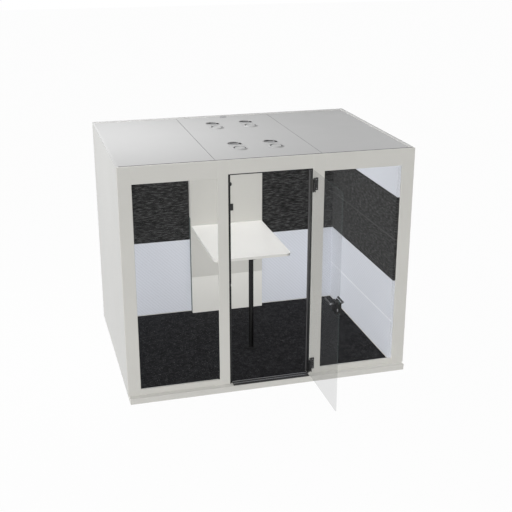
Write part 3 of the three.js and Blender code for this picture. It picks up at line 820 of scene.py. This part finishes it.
def screw(shape, centre, axis):
    """A low domed screw head with a socket."""
    head = [
        (0, SCREW_HEIGHT * 0.3),
        (SCREW_SOCKET, SCREW_HEIGHT * 0.3),
        (SCREW_SOCKET, SCREW_HEIGHT),
        (SCREW_RADIUS * 0.8, SCREW_HEIGHT),
        (SCREW_RADIUS, SCREW_HEIGHT * 0.5),
        (SCREW_RADIUS, -SCREW_HEIGHT),
        (0, -SCREW_HEIGHT),
    ]
    turned(shape, head, centre, axis, SCREW_STEPS)


HINGE_AXIS_X = 0.405
BARREL_REACH = 0.0098
LEAF_PROUD = 0.0063
LEAF_SCREW_SHARES = (0.14, 0.86)
CLAMP_SCREW_INSET = 0.027
CLAMP_SCREW_SHARES = (0.233, 0.767)


def add_hinges():
    """Black hinge leaves, with screws in the fixed leaf and in the clamp on the glass."""
    plate_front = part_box("hinge_post")[0].y - LEAF_PROUD
    clamp_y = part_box("door_leaf")[1].y - CLAMP_SCREW_INSET
    for level in ("lower", "upper"):
        fixed = f"hinge_fixed_leaf_{level}"
        moving = f"hinge_moving_leaf_{level}"
        leaf = worked(fixed, METAL_EDGE / 2)
        put(f"{fixed}_black", leaf, [BLACK_STEEL], "pod", [fixed])
        clamp = worked(moving, METAL_EDGE / 2)
        put(f"{moving}_black", clamp, [BLACK_STEEL], "door", [moving])
        low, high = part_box(fixed)
        plate_x = (HINGE_AXIS_X + BARREL_REACH + high.x) / 2
        shape = bmesh.new()
        for share in LEAF_SCREW_SHARES:
            height = low.z + (high.z - low.z) * share
            screw(shape, Vector((plate_x, plate_front, height)), -Y_AXIS)
        closed_up(shape)
        put(f"hinge_screws_{level}", shape, [BOLT_STEEL], "pod", smooth=ROUND_ANGLE)
        low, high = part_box(moving)
        shape = bmesh.new()
        for share in CLAMP_SCREW_SHARES:
            height = low.z + (high.z - low.z) * share
            screw(shape, Vector((low.x, clamp_y, height)), -X_AXIS)
        closed_up(shape)
        put(f"clamp_screws_{level}", shape, [BOLT_STEEL], "door", smooth=ROUND_ANGLE)


LEVER_RADIUS = 0.0095
LEVER_BEND = 0.013
LEVER_BEND_STEPS = 6
LEVER_FACETS = 24
LEVER_TIP = LEVER_RADIUS * 0.5
LEVER_TIP_SHARE = 0.72
KEY_RADIUS = 0.0088
KEY_PROUD = 0.0028
KEY_DROP = 0.055
KEY_STEPS = 28
ROSETTE_HEIGHT = 0.003
COLLAR_INNER = 0.0195
COLLAR_RIM = 0.0205
COLLAR_OUTER = 0.0215
COLLAR_SHOULDER = 0.0018
COLLAR_PROUD = 0.0028
COLLAR_STEPS = 36
TRIM_SUNK = 0.001


def add_lock():
    """Lock case and bolt, with a key cylinder and a collar under the lever on each face."""
    case = worked("lock_case", METAL_EDGE)
    put("lock_case_black", case, [BLACK_STEEL], "door", ["lock_case"])
    bolt = worked("latch_bolt", METAL_EDGE)
    put("latch_bolt_steel", bolt, [BOLT_STEEL], "latch", ["latch_bolt"])
    low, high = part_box("lock_case")
    spindle_low, spindle_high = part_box("lever_inside")
    spindle_y = spindle_low.y + LEVER_RADIUS
    spindle_z = (spindle_low.z + spindle_high.z) / 2
    key = [
        (0, KEY_PROUD * 0.6),
        (KEY_RADIUS * 0.55, KEY_PROUD * 0.6),
        (KEY_RADIUS * 0.62, KEY_PROUD),
        (KEY_RADIUS * 0.9, KEY_PROUD),
        (KEY_RADIUS, KEY_PROUD * 0.7),
        (KEY_RADIUS, -TRIM_SUNK),
        (0, -TRIM_SUNK),
    ]
    collar = [
        (COLLAR_INNER, -TRIM_SUNK),
        (COLLAR_OUTER, -TRIM_SUNK),
        (COLLAR_OUTER, COLLAR_SHOULDER),
        (COLLAR_RIM, COLLAR_PROUD),
        (COLLAR_INNER, COLLAR_PROUD),
    ]
    faces = (("inside", low.x + ROSETTE_HEIGHT, -X_AXIS), ("outside", high.x - ROSETTE_HEIGHT, X_AXIS))
    for name, face_x, outward in faces:
        shape = bmesh.new()
        turned(shape, key, Vector((face_x, spindle_y, spindle_z - KEY_DROP)), outward, KEY_STEPS)
        turned(shape, collar, Vector((face_x, spindle_y, spindle_z)), outward, COLLAR_STEPS, closed=True)
        closed_up(shape)
        put(f"lock_trim_{name}", shape, [LOCK_TRIM], "door", smooth=ROUND_ANGLE)


def drawn_out(shape, faces, step):
    """Extrudes end faces by a step and returns the new end."""
    grown = bmesh.ops.extrude_face_region(shape, geom=faces)["geom"]
    verts = [part for part in grown if isinstance(part, bmesh.types.BMVert)]
    bmesh.ops.translate(shape, verts=verts, vec=step)
    return [part for part in grown if isinstance(part, bmesh.types.BMFace)]


def corners_of(faces):
    return list({vert for face in faces for vert in face.verts})


def add_lever(node, root_x, outward):
    """A bent round bar: neck out of the lock, a tight bend, and the grip with a domed end."""
    low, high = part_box(node)
    middle_z = (low.z + high.z) / 2
    spindle_y = low.y + LEVER_RADIUS
    grip_x = low.x + LEVER_RADIUS if outward < 0 else high.x - LEVER_RADIUS
    shape = bmesh.new()
    turn = Matrix.Rotation(math.pi / 2, 4, "Y")
    root = Matrix.Translation((root_x, spindle_y, middle_z)) @ turn
    bmesh.ops.create_circle(shape, cap_ends=True, segments=LEVER_FACETS, radius=LEVER_RADIUS, matrix=root)
    neck = grip_x - outward * LEVER_BEND - root_x
    end = drawn_out(shape, shape.faces[:], Vector((neck, 0, 0)))
    centre = Vector((grip_x - outward * LEVER_BEND, spindle_y + LEVER_BEND, middle_z))
    swing = Matrix.Rotation(outward * math.pi / (2 * LEVER_BEND_STEPS), 4, "Z")
    for _ in range(LEVER_BEND_STEPS):
        end = drawn_out(shape, end, NO_STEP)
        bmesh.ops.rotate(shape, verts=corners_of(end), cent=centre, matrix=swing)
    length = high.y - (spindle_y + LEVER_BEND)
    end = drawn_out(shape, end, Vector((0, length - LEVER_TIP, 0)))
    end = drawn_out(shape, end, Vector((0, LEVER_TIP, 0)))
    shrink = Matrix.Diagonal((LEVER_TIP_SHARE, 1, LEVER_TIP_SHARE, 1))
    tip = Matrix.Translation((-grip_x, -high.y, -middle_z))
    bmesh.ops.transform(shape, matrix=shrink, space=tip, verts=corners_of(end))
    bmesh.ops.recalc_face_normals(shape, faces=shape.faces[:])
    put(f"{node}_bar", shape, [LEVER_STEEL], "levers", [node], ROUND_ANGLE)


def add_levers():
    lock_low, lock_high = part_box("lock_case")
    add_lever("lever_inside", lock_low.x - FIT_GAP, -1)
    add_lever("lever_outside", lock_high.x + FIT_GAP, 1)


LEG_RADIUS = 0.0245
LEG_FOOT_RADIUS = 0.07
LEG_STEPS = 56
PLATE_SIDE = 0.004
PLATE_HEIGHT = 0.006
FOOT_SLOPE = 0.004
HEAD_SLOPE = 0.002
FILLET_REACH = 0.006
FILLET_START = 0.0075
FILLET_END = 0.014
FOOT_COVERED = 0.013


def add_table():
    """Table board whose side faces take a darker copy of its colour as painted shade, on a turned column
    with a covered foot.
    """
    board = worked("table_top", TABLE_EDGE / 2, 2)
    board.normal_update()
    # Faces that do not look up take the darker copy: painted shade.
    for face in board.faces:
        face.material_index = 0 if face.normal.z > FACING else 1
    put("table_top_board", board, [TABLE_BOARD, TABLE_SIDES_PAINTED_SHADE], "pod", ["table_top"])
    low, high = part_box("table_leg")
    middle = Vector(((low.x + high.x) / 2, (low.y + high.y) / 2, 0))
    head_radius = (high.x - low.x) / 2
    profile = [
        (0, low.z),
        (LEG_FOOT_RADIUS, low.z),
        (LEG_FOOT_RADIUS, low.z + PLATE_SIDE),
        (LEG_FOOT_RADIUS - FOOT_SLOPE, low.z + PLATE_HEIGHT),
        (LEG_RADIUS + FILLET_REACH, low.z + FILLET_START),
        (LEG_RADIUS, low.z + FILLET_END),
        (LEG_RADIUS, high.z - FILLET_END),
        (LEG_RADIUS + FILLET_REACH, high.z - FILLET_START),
        (head_radius - HEAD_SLOPE, high.z - PLATE_HEIGHT),
        (head_radius, high.z - PLATE_SIDE),
        (head_radius, high.z),
        (0, high.z),
    ]
    shape = bmesh.new()
    turned(shape, profile, middle, Z_AXIS, LEG_STEPS)
    closed_up(shape)
    for face in shape.faces:
        if face.calc_center_median().z < low.z + FOOT_COVERED:
            face.material_index = 1
    finishes = [LEG_STEEL, FOOT_COVER]
    put("table_leg_turned", shape, finishes, "pod", ["table_leg"], ROUND_ANGLE)


VENT_STEPS = 64
SHAFT_STEPS = 20
DUCT_INNER = 0.069
DUCT_OUTER = 0.072
DUCT_TOLERANCE = 0.0004
FLANGE_HEIGHT = 0.003
FLANGE_EDGE = 0.0015
SHAFT_RADIUS = 0.004
SHAFT_ROOT = 0.01
CAP_TOP = -0.0063
SPOKE_COUNT = 4
SPOKE_LOW = (0.046, -0.004, CAP_TOP - 0.004)
SPOKE_HIGH = (0.0705, 0.004, CAP_TOP - 0.001)
FILTER_HUB = 0.006
FILTER_OVERLAP = 0.001
FILTER_BOTTOM = 0.0004
FILTER_RIM = 0.0024
FILTER_TOP = 0.003
VALVE_DISC = 0.048
VALVE_SLOT = 0.0622
VALVE_PLATE_TOP = 0.0029
VALVE_PLATE_SIDE = 0.0014
BRIDGE_INSET = 0.001
BRIDGE_LOW = 0.0002
BRIDGE_HIGH = 0.0024

# Step out from the duct's inside and height above the roof, up the lip of its mouth
MOUTH_LIP = (
    (0, -0.004),
    (0.0015, 0.0026),
    (0.003, FLANGE_HEIGHT),
)

# Radius and drop below the cap's top
CAP_PROFILE = (
    (0, 0),
    (0.03, 0.0002),
    (0.047, 0.0008),
    (0.05, 0.0025),
    (0.05, 0.004),
    (0.018, 0.004),
    (0.018, 0.014),
    (0, 0.014),
)

# Radius and height above the roof, from the middle of the disc to the foot of the raised rim
VALVE_PROFILE = (
    (0, 0.0058),
    (0.022, 0.0062),
    (0.04, 0.007),
    (0.0465, 0.0066),
    (VALVE_DISC, 0.0052),
    (VALVE_DISC, 0.0034),
    (VALVE_SLOT, 0.003),
    (0.0625, 0.0082),
    (0.064, 0.009),
    (0.0705, 0.009),
    (0.072, 0.0078),
    (0.0725, 0.003),
)


def vent_ports(label):
    """Centres of the fan duct and of the inlet valve at the roof's top, flange radius and duct depth."""
    low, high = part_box(f"vent_housing_{label}")
    radius = (high.x - low.x) / 2
    middle_x = (low.x + high.x) / 2
    roof_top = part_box("roof_panel_centre")[1].z + FIT_GAP
    duct = Vector((middle_x, high.y - radius, roof_top))
    valve = Vector((middle_x, low.y + radius, roof_top))
    return duct, valve, radius, low.z - roof_top


def add_duct(shape, duct, flange, depth):
    """Flanged duct with a cap on spokes over the fan, the fan's shaft and a filter at the bottom."""
    ring = [
        (DUCT_INNER, depth),
        *[(DUCT_INNER + out, height) for out, height in MOUTH_LIP],
        (flange - FLANGE_EDGE, FLANGE_HEIGHT),
        (flange, FLANGE_EDGE),
        (flange, 0.0),
        (DUCT_OUTER, 0.0),
        (DUCT_OUTER, depth),
    ]
    turned(shape, ring, duct, Z_AXIS, VENT_STEPS, closed=True)
    for face in shape.faces:
        if (face.calc_center_median() - duct).xy.length < DUCT_INNER + DUCT_TOLERANCE:
            face.material_index = 1
    cap = [(radius, CAP_TOP - drop) for radius, drop in CAP_PROFILE]
    turned(shape, cap, duct, Z_AXIS, VENT_STEPS, finish=2)
    root = CAP_TOP - SHAFT_ROOT
    shaft = [(0, root), (SHAFT_RADIUS, root), (SHAFT_RADIUS, depth), (0, depth)]
    turned(shape, shaft, duct, Z_AXIS, SHAFT_STEPS, finish=1)
    filter_mesh = [
        (FILTER_HUB, depth + FILTER_BOTTOM),
        (DUCT_INNER + FILTER_OVERLAP, depth + FILTER_BOTTOM),
        (DUCT_INNER + FILTER_OVERLAP, depth + FILTER_RIM),
        (FILTER_HUB, depth + FILTER_TOP),
    ]
    turned(shape, filter_mesh, duct, Z_AXIS, VENT_STEPS, closed=True, finish=1)
    for spoke in range(SPOKE_COUNT):
        turn = Matrix.Rotation((spoke + 0.5) * math.tau / SPOKE_COUNT, 4, "Z")
        bar = box_between(shape, SPOKE_LOW, SPOKE_HIGH)
        bmesh.ops.transform(shape, matrix=Matrix.Translation(duct) @ turn, verts=bar)


def add_valve(shape, valve, flange):
    """Raised inlet valve: a disc in a rim, with a shallow slot between them whose floor is near-black as
    painted shade standing in for the depth of the slot.
    """
    form = [
        *VALVE_PROFILE,
        (flange - FLANGE_EDGE, VALVE_PLATE_TOP),
        (flange, VALVE_PLATE_SIDE),
        (flange, 0.0),
        (0, 0.0),
    ]
    before = len(shape.faces)
    turned(shape, form, valve, Z_AXIS, VENT_STEPS)
    for face in shape.faces[before:]:
        reach = (face.calc_center_median() - valve).xy.length
        # Slot floor in near-black: painted shade of the slot's depth.
        if VALVE_DISC <= reach < VALVE_SLOT:
            face.material_index = 1


def add_vent(label):
    """A vent unit: fan duct and inlet valve on one flange plate."""
    duct, valve, flange, depth = vent_ports(label)
    shape = bmesh.new()
    add_duct(shape, duct, flange, depth)
    add_valve(shape, valve, flange)
    bridge_low = (duct.x - flange + BRIDGE_INSET, valve.y, duct.z + BRIDGE_LOW)
    bridge_high = (duct.x + flange - BRIDGE_INSET, duct.y - DUCT_OUTER, duct.z + BRIDGE_HIGH)
    box_between(shape, bridge_low, bridge_high)
    finishes = [VENT_PLASTIC, DUCT_LINING, FAN_CAP]
    node = f"vent_housing_{label}"
    put(f"{node}_moulded", closed_up(shape), finishes, "pod", [node], ROUND_ANGLE)


SEAM_HALF = 0.002
SEAM_PROUD = 0.0006
FACADE_GASKET = 0.016


def add_roof_gaskets():
    """Rubber strips in the two roof seams and a gasket behind the top of the front frame."""
    low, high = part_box("roof_panel_centre")
    for side, seam in (("left", low.x), ("right", high.x)):
        bottom = (seam - SEAM_HALF, low.y, high.z - SEAM_HALF)
        top = (seam + SEAM_HALF, high.y, high.z + SEAM_PROUD)
        strip = rounded_box(bottom, top, SEAM_PROUD / 2, 1)
        put(f"roof_seam_{side}", strip, [SEAL_RUBBER], "pod")
    frame_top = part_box("door_head")[1].z
    bottom = (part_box("roof_panel_left")[0].x, low.y, high.z - SEAM_HALF)
    top = (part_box("roof_panel_right")[1].x, low.y + FACADE_GASKET, frame_top)
    gasket = rounded_box(bottom, top, SEAM_PROUD, 2)
    put("facade_gasket", gasket, [DUCT_LINING], "pod")


INLET_EDGE = 0.002
INLET_RIM = 0.005
INLET_RECESS = 0.006


def add_roof_fittings():
    """Vent units over their rotors, and the mains inlet."""
    for row in ("front", "rear"):
        for side in SIDES:
            add_vent(f"{row}_{side}")
            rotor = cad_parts[f"fan_rotor_{row}_{side}"]
            rotor.data.materials.clear()
            rotor.data.materials.append(BLACK_PLASTIC)
    low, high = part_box("mains_inlet")
    shape = rounded_box(low, high, INLET_EDGE, 3)
    shape.normal_update()
    upper = [face for face in shape.faces if face.normal.z > FACING]
    top = max(upper, key=lambda face: face.calc_area())
    bmesh.ops.inset_region(shape, faces=[top], thickness=INLET_RIM, use_even_offset=True)
    bmesh.ops.translate(shape, verts=top.verts[:], vec=(0, 0, -INLET_RECESS))
    top.material_index = 1
    finishes = [INLET_GREY, SEAL_RUBBER]
    put("mains_inlet_moulded", shape, finishes, "pod", ["mains_inlet"], ROUND_ANGLE)


SOCKET_PLATE_SUNK = 0.003
SOCKET_EDGE = 0.003
SOCKET_PLACES = (-0.037, 0.037)
SOCKET_STEPS = 32
PORT_PLACE = (0.035, 1.563)
PORT_RADIUS = 0.026
PORT_STEPS = 40
# Dark strips on the sides of the media wall, painted shadow
MEDIA_SHADOW_PROUD = 0.0015
MEDIA_SHADOW_FRONT = 0.012
MEDIA_SHADOW_TOP = 1.2

# Radius and height above the plate
SOCKET_WELL = (
    (0, -0.004),
    (0.0185, -0.004),
    (0.0195, 0.0022),
    (0.0215, 0.003),
    (0.0235, 0.002),
    (0.0235, -0.002),
    (0, -0.006),
)

# Radius and height above the media wall
PORT_GROMMET = (
    (0, 0.0015),
    (PORT_RADIUS * 0.68, 0.0015),
    (PORT_RADIUS * 0.72, 0.006),
    (PORT_RADIUS * 0.86, 0.007),
    (PORT_RADIUS, 0.004),
    (PORT_RADIUS, -0.002),
    (0, -0.002),
)


def add_media_fittings():
    """Twin socket plate, dark strips on the sides of the media wall that are painted shadow of the gaps
    beside it, and a cable port on the media wall.
    """
    low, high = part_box("power_socket")
    plate_face = low.y + SOCKET_PLATE_SUNK
    shape = rounded_box((low.x, plate_face, low.z), high, SOCKET_EDGE, 3)
    middle_z = (low.z + high.z) / 2
    for place in SOCKET_PLACES:
        turned(shape, SOCKET_WELL, Vector((place, plate_face, middle_z)), -Y_AXIS, SOCKET_STEPS)
    closed_up(shape)
    put("power_socket_moulded", shape, [BLACK_PLASTIC], "pod", ["power_socket"], ROUND_ANGLE)
    media_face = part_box("media_cover_upper")[0].y
    cover_low, cover_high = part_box("media_cover_lower")
    # Dark strips on the sides of the media wall, up to the dark lining: painted shadow of the gap beside
    # it.
    for side, face_x, outward in (("left", cover_low.x, -1), ("right", cover_high.x, 1)):
        across = sorted((face_x, face_x + outward * MEDIA_SHADOW_PROUD))
        band_low = (across[0], media_face + MEDIA_SHADOW_FRONT, cover_low.z)
        band_high = (across[1], cover_high.y, MEDIA_SHADOW_TOP)
        shadow_band = rounded_box(band_low, band_high, MEDIA_SHADOW_PROUD / 3, 1)
        put(f"media_side_painted_shadow_{side}", shadow_band, [MEDIA_SIDE_PAINTED_SHADOW], "pod")
    shape = bmesh.new()
    port = Vector((PORT_PLACE[0], media_face, PORT_PLACE[1]))
    turned(shape, PORT_GROMMET, port, -Y_AXIS, PORT_STEPS)
    put("cable_port", closed_up(shape), [BLACK_PLASTIC], "pod", smooth=ROUND_ANGLE)


def add_ceiling_light():
    shape = worked("ceiling_light", BOARD_EDGE)
    put("ceiling_light_opal", shape, [DIFFUSER], "pod", ["ceiling_light"])


add_camera()
add_world()
add_floor()
add_lights()
add_shell()
add_walls()
add_sills()
add_lining()
add_row_joints()
add_carpet()
add_glass()
add_door_frame()
add_threshold()
add_hinges()
add_lock()
add_levers()
add_table()
add_roof_gaskets()
add_roof_fittings()
add_media_fittings()
add_ceiling_light()
scene.view_settings.view_transform = "Standard"
